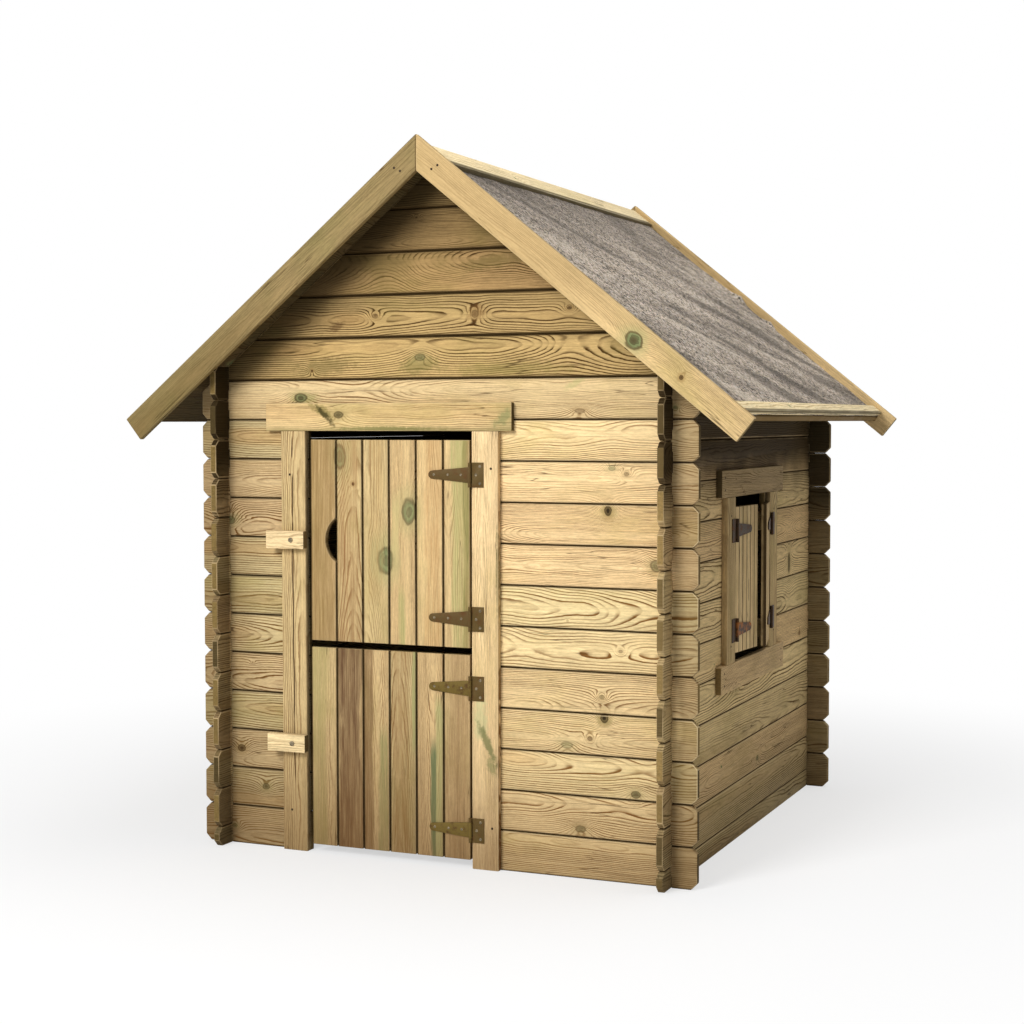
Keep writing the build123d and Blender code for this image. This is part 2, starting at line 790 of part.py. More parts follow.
with BuildPart() as shutter_hinge_straps:
    for face, up in ((front_shutter_face, front_up), (rear_shutter_face, rear_up)):
        for height in shutter_hinge_heights:
            seat = Plane(face.from_local_coords((0, up * height, 0)), -face.x_dir, face.z_dir)
            add_strap(seat, shutter_recess)
shutter_hinge_straps.part.label = "shutter_hinge_straps"

for piece in (
    front_wall_left,
    front_wall_right,
    front_wall_top,
    front_gable,
    rear_wall,
    rear_gable,
    left_wall,
    right_wall_bottom,
    right_wall_front,
    right_wall_rear,
    right_wall_top,
    roof_deck_left,
    roof_deck_right,
    roof_felt_left,
    roof_felt_right,
    ridge_strip_left,
    ridge_strip_right,
    eaves_strip_left,
    eaves_strip_right,
    front_barge_left,
    front_barge_right,
    rear_barge_left,
    rear_barge_right,
    door_trim_left,
    door_trim_right,
    door_trim_head,
    door_hinge_plates,
    upper_door_boards,
    upper_door_ledges,
    upper_door_straps,
    lower_door_boards,
    lower_door_ledges,
    lower_door_straps,
    upper_turn_button,
    lower_turn_button,
    turn_button_screws,
    window_trim_head,
    window_trim_sill,
    window_trim_front,
    window_trim_rear,
    front_shutter_boards,
    front_shutter_ledges,
    rear_shutter_boards,
    rear_shutter_ledges,
    shutter_hinge_plates,
    shutter_hinge_straps,
):
    export_step(piece.part, f"parts/{piece.part.label}.step")
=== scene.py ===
"""Finish of the log-cabin playhouse: weathered pine boards, mineral felt and rusted hinges."""

import math

import bmesh
import bpy
from mathutils import Matrix, Vector, noise


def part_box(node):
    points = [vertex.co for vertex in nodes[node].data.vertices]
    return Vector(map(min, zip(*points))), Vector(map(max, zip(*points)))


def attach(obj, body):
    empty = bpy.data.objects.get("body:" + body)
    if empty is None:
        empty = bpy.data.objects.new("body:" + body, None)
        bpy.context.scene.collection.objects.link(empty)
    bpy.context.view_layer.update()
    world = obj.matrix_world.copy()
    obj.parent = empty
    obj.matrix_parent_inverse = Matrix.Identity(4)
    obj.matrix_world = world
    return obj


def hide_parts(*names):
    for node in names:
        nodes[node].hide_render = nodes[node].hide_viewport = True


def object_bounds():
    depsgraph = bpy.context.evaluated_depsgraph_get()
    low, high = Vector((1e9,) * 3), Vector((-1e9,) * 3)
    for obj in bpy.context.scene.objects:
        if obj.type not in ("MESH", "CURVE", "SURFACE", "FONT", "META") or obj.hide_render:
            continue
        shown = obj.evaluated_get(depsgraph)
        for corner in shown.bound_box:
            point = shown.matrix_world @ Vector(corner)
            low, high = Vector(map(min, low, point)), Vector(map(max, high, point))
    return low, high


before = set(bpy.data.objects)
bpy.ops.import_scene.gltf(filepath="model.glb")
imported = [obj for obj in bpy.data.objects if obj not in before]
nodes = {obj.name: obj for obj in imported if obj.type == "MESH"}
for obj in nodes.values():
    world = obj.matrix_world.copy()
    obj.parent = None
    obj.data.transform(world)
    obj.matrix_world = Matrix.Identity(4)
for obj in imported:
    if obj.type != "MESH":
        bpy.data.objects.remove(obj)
cad_low, cad_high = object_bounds()

# Sizes of the real thing, in metres
LOG_HEIGHT = 0.096
HALF_LOG = LOG_HEIGHT / 2
GABLE_BOARD = 0.100
DECK_BOARD = 0.095
WALL_TOP = 1.152
TRIM_FACE = -0.675
LEAF_LEFT = -0.331
LEAF_PITCH = 0.07117
LEDGE_FIELD = 0.5
HINGE_X = 0.096
WINDOW_TRIM_FACE = 0.600
ROOF_PITCH = math.radians(39.08)
BOARD_ARRIS, BARGE_ARRIS, HINGE_ARRIS, SCREW_ARRIS = 0.0018, 0.0026, 0.0005, 0.0003

# How far a buckle in the felt runs back for each metre that it runs down the slope
CREASE_SLANT = 1.7
X, Y, Z = 0, 1, 2


def paint(red, green, blue):
    """A colour written as it looks, as the shader's own numbers."""
    def straight(value):
        value /= 255
        return value / 12.92 if value <= 0.04045 else ((value + 0.055) / 1.055) ** 2.4

    return (straight(red), straight(green), straight(blue), 1.0)


def darker(tone, share):
    return [value * share for value in tone]


class Wire:
    """One socket of a material. Sums on it add Math nodes."""

    def __init__(self, tree, socket=None):
        self.tree = tree
        self.socket = socket

    def make(self, kind, settings=None, inputs=None, output=0):
        node = self.tree.nodes.new(kind)
        for name, value in (settings or {}).items():
            setattr(node, name, value)
        for name, value in (inputs or {}).items():
            if isinstance(value, Wire):
                self.tree.links.new(value.socket, node.inputs[name])
            else:
                node.inputs[name].default_value = value
        return Wire(self.tree, node.outputs[output])

    def math(self, operation, *values):
        return self.make("ShaderNodeMath", {"operation": operation}, dict(enumerate(values)))

    def __add__(self, other):
        return self.math("ADD", self, other)

    def __radd__(self, other):
        return self.math("ADD", other, self)

    def __sub__(self, other):
        return self.math("SUBTRACT", self, other)

    def __rsub__(self, other):
        return self.math("SUBTRACT", other, self)

    def __mul__(self, other):
        return self.math("MULTIPLY", self, other)

    def __rmul__(self, other):
        return self.math("MULTIPLY", other, self)

    def __truediv__(self, other):
        return self.math("DIVIDE", self, other)

    def __rtruediv__(self, other):
        return self.math("DIVIDE", other, self)

    def __pow__(self, other):
        return self.math("POWER", self, other)

    def vector(self, operation, *values):
        settings = {"operation": operation}
        output = 1 if operation in ("LENGTH", "DISTANCE", "DOT_PRODUCT") else 0
        return self.make("ShaderNodeVectorMath", settings, dict(enumerate(values)), output)

    def join(self, along, across, deep):
        return self.make("ShaderNodeCombineXYZ", None, {0: along, 1: across, 2: deep})

    def part(self, axis):
        return self.make("ShaderNodeSeparateXYZ", None, {0: self}, axis)

    def speckle(self, place, scale, detail=2.0, rough=0.5):
        inputs = {"Vector": place, "Scale": scale, "Detail": detail, "Roughness": rough}
        return self.make("ShaderNodeTexNoise", None, inputs)

    def ease(self, low, high, to_low=0.0, to_high=1.0):
        inputs = {"Value": self, "From Min": low, "From Max": high, "To Min": to_low, "To Max": to_high}
        settings = {"interpolation_type": "SMOOTHSTEP", "clamp": True}
        return self.make("ShaderNodeMapRange", settings, inputs)

    def mix(self, share, first, second, how="MIX"):
        settings = {"data_type": "RGBA", "blend_type": how}
        return self.make("ShaderNodeMix", settings, {0: share, 6: first, 7: second}, 2)


def new_finish(name, rough, metal, shine):
    """An empty finish: its surface shader, a wire to build from, and the place on the piece."""
    finish = bpy.data.materials.new(name)
    finish.use_nodes = True
    tree = finish.node_tree
    surface = tree.nodes["Principled BSDF"]
    surface.inputs["Roughness"].default_value = rough
    surface.inputs["Metallic"].default_value = metal
    surface.inputs["Specular IOR Level"].default_value = shine
    start = Wire(tree)
    place = start.make("ShaderNodeTexCoord", None, None, 3)
    return finish, surface, start, place


def feed(surface, name, wire):
    wire.tree.links.new(wire.socket, surface.inputs[name])


def raise_grain(surface, start, height, depth, strength=0.6):
    bump = start.make("ShaderNodeBump", None, {"Strength": strength, "Distance": depth, "Height": height})
    feed(surface, "Normal", bump)


STRAW = {"light": (234, 210, 164), "heart": (206, 158, 104), "line": (126, 88, 48),
         "stain": (182, 166, 108), "end": (132, 108, 64)}
HONEY = {"light": (226, 198, 148), "heart": (196, 146, 94), "line": (130, 90, 50),
         "stain": (162, 148, 90), "end": (116, 96, 58)}
UMBER = {"light": (196, 166, 116), "heart": (158, 116, 70), "line": (74, 50, 26),
         "stain": (132, 120, 70), "end": (84, 66, 40)}
SHADE = {"light": (206, 180, 136), "heart": (160, 126, 86), "line": (84, 62, 38),
         "stain": (140, 126, 82), "end": (128, 106, 64)}
OLIVE = {"light": (174, 150, 106), "heart": (150, 116, 76), "line": (116, 94, 58),
         "stain": (130, 124, 76), "end": (80, 72, 42)}
PALE = {"light": (236, 222, 186), "heart": (214, 184, 132), "line": (176, 146, 98),
        "stain": (196, 184, 134), "end": (126, 108, 68)}
WARM_BOARD, COOL_BOARD = paint(255, 238, 220), paint(242, 246, 226)
KNOT_BROWN = {"body": (104, 74, 46), "ring": (44, 30, 20), "halo": (146, 112, 66)}
KNOT_GREEN = {"body": (112, 132, 88), "ring": (52, 78, 48), "halo": (152, 160, 108)}
KNOT_CORE, KNOT_RIM = paint(32, 25, 18), paint(54, 40, 24)
SPLIT_TONE, GRIME_AND_SHADE_TONE, SEAM_TONE = paint(64, 44, 26), paint(70, 54, 30), paint(54, 40, 20)

# Patterns of the wood: repeats in a metre along, across and into a board, detail and roughness
WOOD_FIGURE = {
    "wander": ((2.1, 5.5, 3.0), 2.0, 0.5), "ripple": ((16.0, 75.0, 25.0), 3.0, 0.6),
    "patchy": ((2.2, 16.0, 4.0), 2.0, 0.5), "fibre": ((13.0, 360.0, 240.0), 5.0, 0.75),
    "pores": ((90.0, 700.0, 500.0), 3.0, 0.7), "cloud": ((2.6, 8.0, 5.0), 4.0, 0.65),
    "band": ((1.4, 48.0, 20.0), 2.0, 0.5), "split": ((3.0, 130.0, 60.0), 1.0, 0.5),
    "gate": ((4.0, 22.0, 9.0), 1.0, 0.5),
}


def pine(name, grain, across, deep, pitch, first, tones, seed, knots=(), wild=0.05, contrast=1.0,
         knotty=0.22, stain=0.5, level=1.0, grime_and_shade_width=0.006, marks=(), turn=0.0, blots=(),
         year_width=1.0, mixed=0.6, seam_width=0.0014):
    """Pine boards side by side: year rings cut flat, knots, fibres, stain and darker end grain.

    grain, across and deep are the axes of one board. pitch and first place the boards across, and
    knots holds (along, across, half length, half width, green, dark) for knots at known places. turn
    lays the boards along a roof slope, and mixed says how far boards differ in tone. wild is how far
    the heart wanders, knotty the share of lengths with a chance knot, and level the board's brightness.
    blots lie under the knots and marks over them.
    """
    finish, surface, w, place = new_finish(name, 0.80, 0.0, 0.02)
    facing = w.make("ShaderNodeTexCoord", None, None, 1)
    flat = place
    if turn:
        swing = {"Rotation": (0.0, turn, 0.0)}
        place = w.make("ShaderNodeMapping", {"vector_type": "POINT"}, {"Vector": place, **swing})
        facing = w.make("ShaderNodeMapping", {"vector_type": "VECTOR"}, {"Vector": facing, **swing})
    along = place.part(grain)
    side = place.part(across)
    depth = place.part(deep)
    number = w.math("FLOOR", (side - first) / pitch)
    local = side - (number + 0.5) * pitch - first
    lot = w.make("ShaderNodeTexWhiteNoise", {"noise_dimensions": "1D"}, {"W": number * 1.37 + seed * 7.13}, 1)
    chance, second, third = lot.part(X), lot.part(Y), lot.part(Z)
    seeded = w.join(along, side * 0.6 + number * 0.73, depth * 0.6 + seed * 1.9)

    def figure(kind):
        """One pattern of the wood, drawn out along the board."""
        repeats, detail, rough = WOOD_FIGURE[kind]
        return w.speckle(w.vector("MULTIPLY", seeded, repeats), 1.0, detail, rough)

    wander = figure("wander") - 0.5
    ripple = figure("ripple") - 0.5

    # Knots at chance places, one to a length of board
    stretch = 0.36
    span = w.math("FLOOR", along / stretch + second)
    pick = w.make(
        "ShaderNodeTexWhiteNoise", {"noise_dimensions": "2D"},
        {"Vector": w.join(span + seed * 3.1, number * 1.71, 0.0)}, 1)
    size = w.math("MAXIMUM", pick.part(Z) - (1 - knotty), 0.0) * 0.036 + 0.00005
    dark = 0.35 + pick.part(Y) * 0.6
    knot_along = (span + 0.2 + pick.part(X) * 0.6 - second) * stretch
    knot_side = (pick.part(Y) - 0.5) * 0.74 * pitch
    reach = w.vector("LENGTH", w.join((along - knot_along) / (size * 1.5), (local - knot_side) / size, 0.0))
    green = pick.part(X).ease(0.45, 0.7)
    for k_along, k_across, k_long, k_wide, k_green, k_dark in knots:
        here = w.vector("LENGTH", w.join((along - k_along) / k_long, (side - k_across) / k_wide, 0.0))
        nearer = w.math("LESS_THAN", here, reach)
        green = green + (k_green - green) * nearer
        dark = dark + (k_dark - dark) * nearer
        reach = w.math("MINIMUM", reach, here)
    reach = reach * (1.0 + ripple * 0.9)

    # Year rings about a heart that wanders in and out of the board
    heart = (chance - 0.5) * pitch * 0.9
    sink = 0.006 + second * 0.04 + (third - 0.5) * 0.09 * along + wander * wild * 2.2
    swirl = 0.024 / (1.0 + reach * reach * 0.16)
    rings = w.math("SQRT", (local - heart) ** 2.0 + sink * sink + 0.00001) + ripple * 0.0042 + swirl
    count = rings / ((0.0031 + third * 0.0024) * year_width)
    ring = w.math("FRACT", count)
    year = w.make("ShaderNodeTexWhiteNoise", {"noise_dimensions": "1D"},
                  {"W": w.math("FLOOR", count) + number * 9.3})
    late = ring.ease(0.45, 0.86) * (1 - ring.ease(0.88, 0.99)) * (0.45 + year * 0.6)
    patchy = figure("patchy").ease(0.26, 0.56, 0.45, 1.30)
    off_heart = w.math("ABSOLUTE", local - heart).ease(0.002, 0.014, 0.20, 1.0)
    line = w.math("MINIMUM", late * patchy * off_heart * contrast, 1.0)

    # Fibres along the board, broad tone from board to board, weather stain
    fibre = figure("fibre")
    pores = figure("pores")
    cloud = figure("cloud")
    band = figure("band")
    middle = (1 - rings.ease(0.008, 0.034)) * third.ease(0.35, 0.9) * 0.55
    colour = w.mix(middle, paint(*tones["light"]), paint(*tones["heart"]))
    colour = w.mix(line, colour, paint(*tones["line"]))
    colour = w.mix(cloud.ease(0.48, 0.74) * stain, colour, paint(*tones["stain"]))
    warm = w.mix(third, WARM_BOARD, COOL_BOARD)
    colour = w.mix(mixed, colour, warm, "MULTIPLY")
    tone = 0.93 + (chance - 0.5) * 0.28 * mixed + (fibre - 0.5) * 1.15 + (pores - 0.5) * 0.55
    tone = (tone + (cloud - 0.5) * 0.36 + (band - 0.5) * 0.34) * level
    colour = w.mix(1.0, colour, w.join(tone, tone, tone), "MULTIPLY")

    for blot in blots:
        colour = blot(w, flat, colour)

    def knot_paint(part):
        return w.mix(green, paint(*KNOT_BROWN[part]), paint(*KNOT_GREEN[part]))

    # Knots and their rings
    eye = w.math("FRACT", reach * 2.2 + ripple * 2.0).ease(0.2, 0.9)
    knot_tone = w.mix(eye * 0.75, knot_paint("body"), knot_paint("ring"))
    knot_tone = w.mix((1 - reach.ease(0.2, 0.75)) * dark, knot_tone, KNOT_CORE)
    halo = (1 - reach.ease(0.8, 3.0)) * (0.25 + cloud * 0.5) * (0.4 + dark * 0.6)
    colour = w.mix(halo, colour, knot_paint("halo"))
    colour = w.mix((1 - reach.ease(0.70, 1.15)) * (0.35 + dark * 0.6), colour, knot_tone)
    rim = reach.ease(0.70, 0.98) * (1 - reach.ease(0.98, 1.25))
    colour = w.mix(rim * (0.3 + dark * 0.5), colour, KNOT_RIM)

    # Drying checks: short dark splits with the grain
    split = 1 - w.math("ABSOLUTE", figure("split") - 0.5).ease(0.0, 0.014)
    gate = figure("gate").ease(0.52, 0.64)
    colour = w.mix(split * gate * 0.7, colour, SPLIT_TONE)
    for mark in marks:
        colour = mark(w, flat, colour)

    # Grime and painted shade where boards meet, and end grain
    half_pitch = pitch * 0.5
    off_middle = w.math("ABSOLUTE", local)
    edge = (off_middle + (cloud - 0.5) * 0.004).ease(half_pitch - grime_and_shade_width, half_pitch - 0.001)
    colour = w.mix(edge * (0.35 + cloud * 0.5), colour, GRIME_AND_SHADE_TONE)
    seam = off_middle.ease(half_pitch - seam_width - 0.0012, half_pitch - seam_width)
    colour = w.mix(seam * 0.85, colour, SEAM_TONE)
    end_cut = w.math("ABSOLUTE", facing.part(grain)).ease(0.72, 0.95)
    end_tone = w.mix(chance.ease(0.2, 0.8), paint(*tones["end"]), paint(*darker(tones["end"], 0.5)))
    end_tone = w.mix(fibre.ease(0.3, 0.7) * 0.6, end_tone, paint(*darker(tones["end"], 0.6)))
    colour = w.mix(end_cut * 0.9, colour, end_tone)
    # Eased arrises painted paler: edge wear and painted highlight.
    worn = w.make("ShaderNodeAttribute", {"attribute_name": "arris"}, None, 2)
    worn = worn * cloud.ease(0.36, 0.66, 0.0, 0.55) * (1 - seam) * (1 - edge * 0.7)
    rubbed_and_highlit = paint(*[min(255, 250 * level)] * 3)
    colour = w.mix(worn, colour, w.mix(1.0, paint(*tones["light"]), rubbed_and_highlit, "MULTIPLY"))
    feed(surface, "Base Color", colour)
    feed(surface, "Roughness", 0.62 + line * 0.15 + (fibre - 0.5) * 0.2)
    raise_grain(surface, w, fibre * 0.5 - split * gate, 0.0010)
    return finish


def shadow_stain(axis, low, high, amount, tone, ragged=0.12):
    """A darkening that deepens from low to high along one axis, with a ragged edge: painted shade in some
    uses, a weather stain in others.
    """
    def mark(w, place, colour):
        drift = w.speckle(w.vector("MULTIPLY", place, (5.0, 5.0, 5.0)), 1.0, 3.0) - 0.5
        share = (place.part(axis) + drift * ragged).ease(low, high) * amount
        return w.mix(share, colour, paint(*tone))

    return mark


def streaks(places):
    """Long stains down a board, each (across, half width, low, high, tone, amount)."""
    def mark(w, place, colour):
        drift = w.speckle(w.vector("MULTIPLY", place, (40.0, 40.0, 5.0)), 1.0, 4.0, 0.65) - 0.5
        thread = w.speckle(w.vector("MULTIPLY", place, (230.0, 230.0, 7.0)), 1.0, 4.0, 0.7) - 0.5
        for middle, half, low, high, tone, amount in places:
            near = 1 - w.math("ABSOLUTE", place.part(X) - middle + drift * half * 1.6).ease(half * 0.5, half)
            tall = place.part(Z).ease(low, low + 0.06) * (1 - place.part(Z).ease(high - 0.06, high))
            colour = w.mix(near * tall * (amount + drift * 0.6 + thread * 1.3), colour, paint(*tone))
        return colour

    return mark


def blotches(along, across, places):
    """Ragged stains and bruises, each (along, across, half length, half width, slant, tone, amount)."""
    def mark(w, place, colour):
        ragged = w.speckle(w.vector("MULTIPLY", place, (75.0, 75.0, 75.0)), 1.0, 4.0, 0.7) - 0.5
        for middle, height, half_long, half_wide, slant, tone, amount in places:
            run = place.part(along) - middle
            rise = place.part(across) - height - run * slant
            reach = w.vector("LENGTH", w.join(run / half_long, rise / half_wide, 0.0)) + ragged * 1.7
            colour = w.mix((1 - reach.ease(0.30, 1.0)) * amount, colour, paint(*tone))
        return colour

    return mark


def long_crack(middle, half, low, high):
    """A split down a trim."""
    def mark(w, place, colour):
        drift = w.speckle(w.vector("MULTIPLY", place, (1.0, 1.0, 7.0)), 1.0, 3.0) - 0.5
        near = 1 - w.math("ABSOLUTE", place.part(X) - middle + drift * 0.012).ease(half * 0.4, half)
        tall = place.part(Z).ease(low, low + 0.02) * (1 - place.part(Z).ease(high - 0.02, high))
        broken = w.speckle(w.vector("MULTIPLY", place, (1.0, 1.0, 9.0)), 1.0, 2.0).ease(0.34, 0.46)
        return w.mix(near * tall * broken * 0.9, colour, paint(58, 38, 22))

    return mark


def granules(name):
    """Roofing felt: grey and pale mineral grains over dark bitumen, with painted shade in the creases,
    painted shade and highlight along the buckles and painted shadow below the ridge.
    """
    front = cad_low.y + 0.02
    finish, surface, w, place = new_finish(name, 0.92, 0.0, 0.2)
    fine = w.speckle(place, 230.0, 3.0, 0.8)
    grain = w.make("ShaderNodeTexVoronoi", {"feature": "F1"}, {"Vector": place, "Scale": 180.0}, 1)
    crease_shade = w.make("ShaderNodeAttribute", {"attribute_name": "crease"}, None, 2)
    pale = grain.part(X).ease(0.45, 0.75)
    colour = w.mix(fine.ease(0.36, 0.64), paint(92, 83, 71), paint(220, 204, 180))
    colour = w.mix(pale * 0.8, colour, w.mix(grain.part(Y), paint(226, 204, 190), paint(206, 200, 190)))
    colour = w.mix(grain.part(Z).ease(0.70, 0.85) * 0.8, colour, paint(46, 43, 42))
    slope = w.math("ABSOLUTE", place.part(X)) / math.cos(ROOF_PITCH)
    back = place.part(Y) - front
    warp = w.speckle(w.vector("MULTIPLY", place, (2.6, 2.6, 2.6)), 1.0, 2.0) - 0.5
    across = back - CREASE_SLANT * slope + warp * 0.12
    streak = w.speckle(w.join(across * 6.5, slope * 5.0, 0.0), 1.0, 3.0, 0.6)
    broad = w.speckle(w.join(across * 3.0, slope * 3.0, 3.0), 1.0, 2.0)
    # Streaks along the buckles: painted shade in the hollows and painted highlight on the crests.
    streak_shade = 0.6 * (1 - streak.ease(0.38, 0.54)) + 0.4 * (1 - broad.ease(0.38, 0.56))
    colour = w.mix(streak_shade * 0.50, colour, paint(62, 55, 49))
    colour = w.mix(streak.ease(0.52, 0.70) * 0.34, colour, paint(224, 210, 190))
    # Painted shade in the creases.
    colour = w.mix(crease_shade.ease(0.10, 0.85) * 0.55, colour, paint(54, 48, 43))
    # Painted shadow of the ridge strip, deepening towards the ridge.
    colour = w.mix(place.part(Z).ease(1.40, 1.66) * 0.45, colour, paint(58, 52, 48))
    feed(surface, "Base Color", colour)
    raise_grain(surface, w, fine * 0.5 + grain.part(X) * 0.3 + streak * 2.0, 0.0025, 0.9)
    return finish


def rusty(name, steel, rust, patch, fresh=None):
    """Hinge metal gone brown, with rust in patches. fresh, a front, rear and top, has rusted orange."""
    finish, surface, w, place = new_finish(name, 0.7, 0.0, 0.12)
    cloud = w.speckle(place, 55.0, 5.0, 0.65)
    fine = w.speckle(place, 420.0, 3.0, 0.6)
    spread = (cloud + (fine - 0.5) * 0.35).ease(patch, patch + 0.2)
    colour = w.mix(spread, paint(*steel), paint(*rust))
    if fresh:
        front, rear, top = fresh
        fade = 0.01
        inside = place.part(Y).ease(front, front + fade) * (1 - place.part(Y).ease(rear, rear + fade))
        inside = inside * (1 - place.part(Z).ease(top, top + fade))
        colour = w.mix(inside * cloud.ease(0.40, 0.60) * 0.8, colour, paint(158, 98, 48))
    tone = 0.72 + fine * 0.5
    colour = w.mix(1.0, colour, w.join(tone, tone, tone), "MULTIPLY")
    feed(surface, "Base Color", colour)
    feed(surface, "Metallic", 0.12 - spread * 0.1)
    feed(surface, "Roughness", 0.48 + spread * 0.35)
    raise_grain(surface, w, fine + cloud, 0.0006, 0.5)
    return finish


def plain_metal(name, colour, rough):
    finish, surface, w, place = new_finish(name, rough, 0.8, 0.5)
    worn = w.speckle(place, 300.0, 3.0).ease(0.35, 0.7)
    feed(surface, "Base Color", w.mix(worn, paint(*colour), paint(*darker(colour, 0.6))))
    return finish


def show(mesh_name, shape, finish, body, stands_for=(), smooth=0.6):
    """Turns a bmesh into a shown piece on its body."""
    mesh = bpy.data.meshes.new(mesh_name)
    shape.to_mesh(mesh)
    shape.free()
    mesh.materials.clear()
    mesh.materials.append(finish)
    mesh.shade_smooth()
    mesh.set_sharp_from_angle(angle=smooth)
    piece = bpy.data.objects.new(mesh_name, mesh)
    bpy.context.scene.collection.objects.link(piece)
    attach(piece, body)
    if stands_for:
        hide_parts(*stands_for)
    return piece


def merged_copy(node):
    shape = bmesh.new()
    shape.from_mesh(nodes[node].data)
    bmesh.ops.remove_doubles(shape, verts=shape.verts, dist=0.00001)
    bmesh.ops.dissolve_limit(shape, angle_limit=0.01, verts=shape.verts, edges=shape.edges)
    return shape


def ease_edges(shape, width):
    """Rounds the sharp edges and marks the new narrow faces, which the finish paints paler as edge wear and
    painted highlight.
    """
    worn = shape.faces.layers.float.new("arris")
    sharp = [edge for edge in shape.edges if edge.is_manifold and edge.calc_face_angle() > 0.45]
    made = bmesh.ops.bevel(shape, geom=sharp, offset=width, offset_type="OFFSET", affect="EDGES",
                           segments=2, profile=0.5, material=-1, clamp_overlap=True)
    for face in made["faces"]:
        face[worn] = 1.0


BODY_OF = {
    "upper_door_boards": "upper_door", "upper_door_ledges": "upper_door", "upper_door_straps": "upper_door",
    "lower_door_boards": "lower_door", "lower_door_ledges": "lower_door", "lower_door_straps": "lower_door",
    "upper_turn_button": "upper_button", "lower_turn_button": "lower_button",
}


def dress(node, finish, width=BOARD_ARRIS):
    """The piece with its arrises eased, in its own finish."""
    shape = merged_copy(node)
    ease_edges(shape, width)
    return show(node + "_finished", shape, finish, BODY_OF.get(node, "house"), (node,))


# Walls: front and rear logs run across, side logs run back and sit half a log higher
# Painted shadow of the eaves, with weather stain, high on the side walls.
eaves_shadow_and_stain = shadow_stain(Z, 0.82, 0.97, 0.93, (34, 24, 10))
# Darker towards the ground: dirt and painted shade.
low_dirt_and_shade = shadow_stain(Z, 0.44, -0.06, 0.58, (100, 70, 38))
left_shade = shadow_stain(X, -0.40, -0.62, 0.48, (84, 60, 30))
tail_shade = shadow_stain(X, 0.575, 0.60, 0.50, (86, 64, 32))


def far_tail_shade(w, place, colour):
    """Painted shade on the forward faces of the rear logs, darkest under the eaves."""
    forward = 1 - place.part(Y).ease(0.592, 0.600)
    colour = w.mix(forward * place.part(Z).ease(0.05, 0.45, 0.42, 0.72), colour, paint(50, 40, 18))
    return w.mix(forward * place.part(Z).ease(0.70, 0.86) * 0.80, colour, paint(22, 16, 8))


front_knots_right = [
    (0.4312, 0.8485, 0.0080, 0.0115, 0.15, 1.0), (0.4230, 0.3760, 0.0085, 0.0095, 0.2, 1.0),
    (0.4998, 0.2060, 0.0100, 0.0080, 0.5, 0.7), (0.3654, 0.1153, 0.0120, 0.0070, 0.5, 0.5),
    (0.4621, 0.5305, 0.0050, 0.0035, 0.0, 0.2), (0.4174, 0.4238, 0.0060, 0.0045, 0.3, 0.2),
    (0.3317, 0.3075, 0.0140, 0.0080, 0.7, 0.1), (0.3882, 0.3253, 0.0060, 0.0045, 0.0, 0.4),
    (0.4406, 0.9460, 0.0080, 0.0060, 0.8, 0.1), (0.4756, 0.9328, 0.0065, 0.0050, 0.1, 0.3),
    (0.5480, 0.7269, 0.0130, 0.0120, 0.5, 0.4),
]
front_knots_left = [
    (-0.5676, 0.8075, 0.0140, 0.0100, 0.8, 0.5), (-0.4704, 0.1486, 0.0090, 0.0070, 0.5, 0.8),
    (-0.5387, 0.2388, 0.0100, 0.0085, 0.2, 1.0),
]
wall_blots = blotches(X, Z, [
    (0.4300, 0.8485, 0.034, 0.018, 0.0, (166, 152, 102), 0.50),
    (0.5440, 0.7190, 0.026, 0.026, 0.0, (164, 132, 84), 0.45),
    (0.3509, 1.1385, 0.034, 0.014, 0.6, (168, 164, 108), 0.50),
    (0.4230, 0.3700, 0.030, 0.016, 0.0, (140, 132, 84), 0.45),
    (-0.3500, 1.1080, 0.050, 0.020, 0.0, (142, 138, 82), 0.50),
])
top_knots = [(-0.3632, 1.1087, 0.015, 0.010, 0.6, 0.8), (0.3631, 1.0749, 0.012, 0.006, 0.0, 0.1)]
dress("front_wall_left",
      pine("wall_pine_front_left", X, Z, Y, LOG_HEIGHT, 0.0, STRAW, 1, front_knots_left, level=0.73,
           contrast=1.3, marks=[low_dirt_and_shade, left_shade]))
dress("front_wall_right",
      pine("wall_pine_front_right", X, Z, Y, LOG_HEIGHT, 0.0, STRAW, 2, front_knots_right, wild=0.06,
           contrast=1.1, marks=[low_dirt_and_shade, tail_shade], blots=[wall_blots]))
dress("front_wall_top",
      pine("wall_pine_front_top", X, Z, Y, LOG_HEIGHT, 0.0, STRAW, 3, top_knots, level=0.78,
           marks=[left_shade, tail_shade], blots=[wall_blots]))
gable_knots = [
    (0.1016, 1.3007, 0.0080, 0.0080, 0.0, 0.2), (-0.1597, 1.3020, 0.0080, 0.0055, 0.0, 0.3),
    (-0.0420, 1.2033, 0.0130, 0.0070, 0.5, 0.4), (-0.3321, 1.1738, 0.0030, 0.0030, 0.0, 0.9),
]
gable_shade = shadow_stain(Z, 1.22, 1.52, 0.56, (62, 48, 26))
gable_blots = blotches(X, Z, [
    (-0.0420, 1.1830, 0.070, 0.030, 0.0, (116, 108, 60), 0.60),
    (0.2000, 1.1720, 0.200, 0.020, 0.0, (128, 116, 64), 0.45),
    (-0.3000, 1.1820, 0.110, 0.028, 0.1, (104, 92, 54), 0.50),
    (0.1067, 1.3043, 0.030, 0.026, 0.0, (112, 78, 44), 0.45),
    (-0.2654, 1.2785, 0.030, 0.014, 0.3, (84, 58, 34), 0.60),
    (0.1500, 1.4200, 0.120, 0.022, 0.1, (120, 106, 58), 0.50),
])
gable_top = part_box("front_gable")[1].z


def soffit_shade(w, place, colour):
    """Painted shadow under the left slope, where the roof hangs over the gable."""
    below = (gable_top - place.part(Z) + place.part(X) * math.tan(ROOF_PITCH)) * math.cos(ROOF_PITCH)
    return w.mix((1 - below.ease(0.0, 0.17)) * 0.78, colour, paint(38, 29, 15))


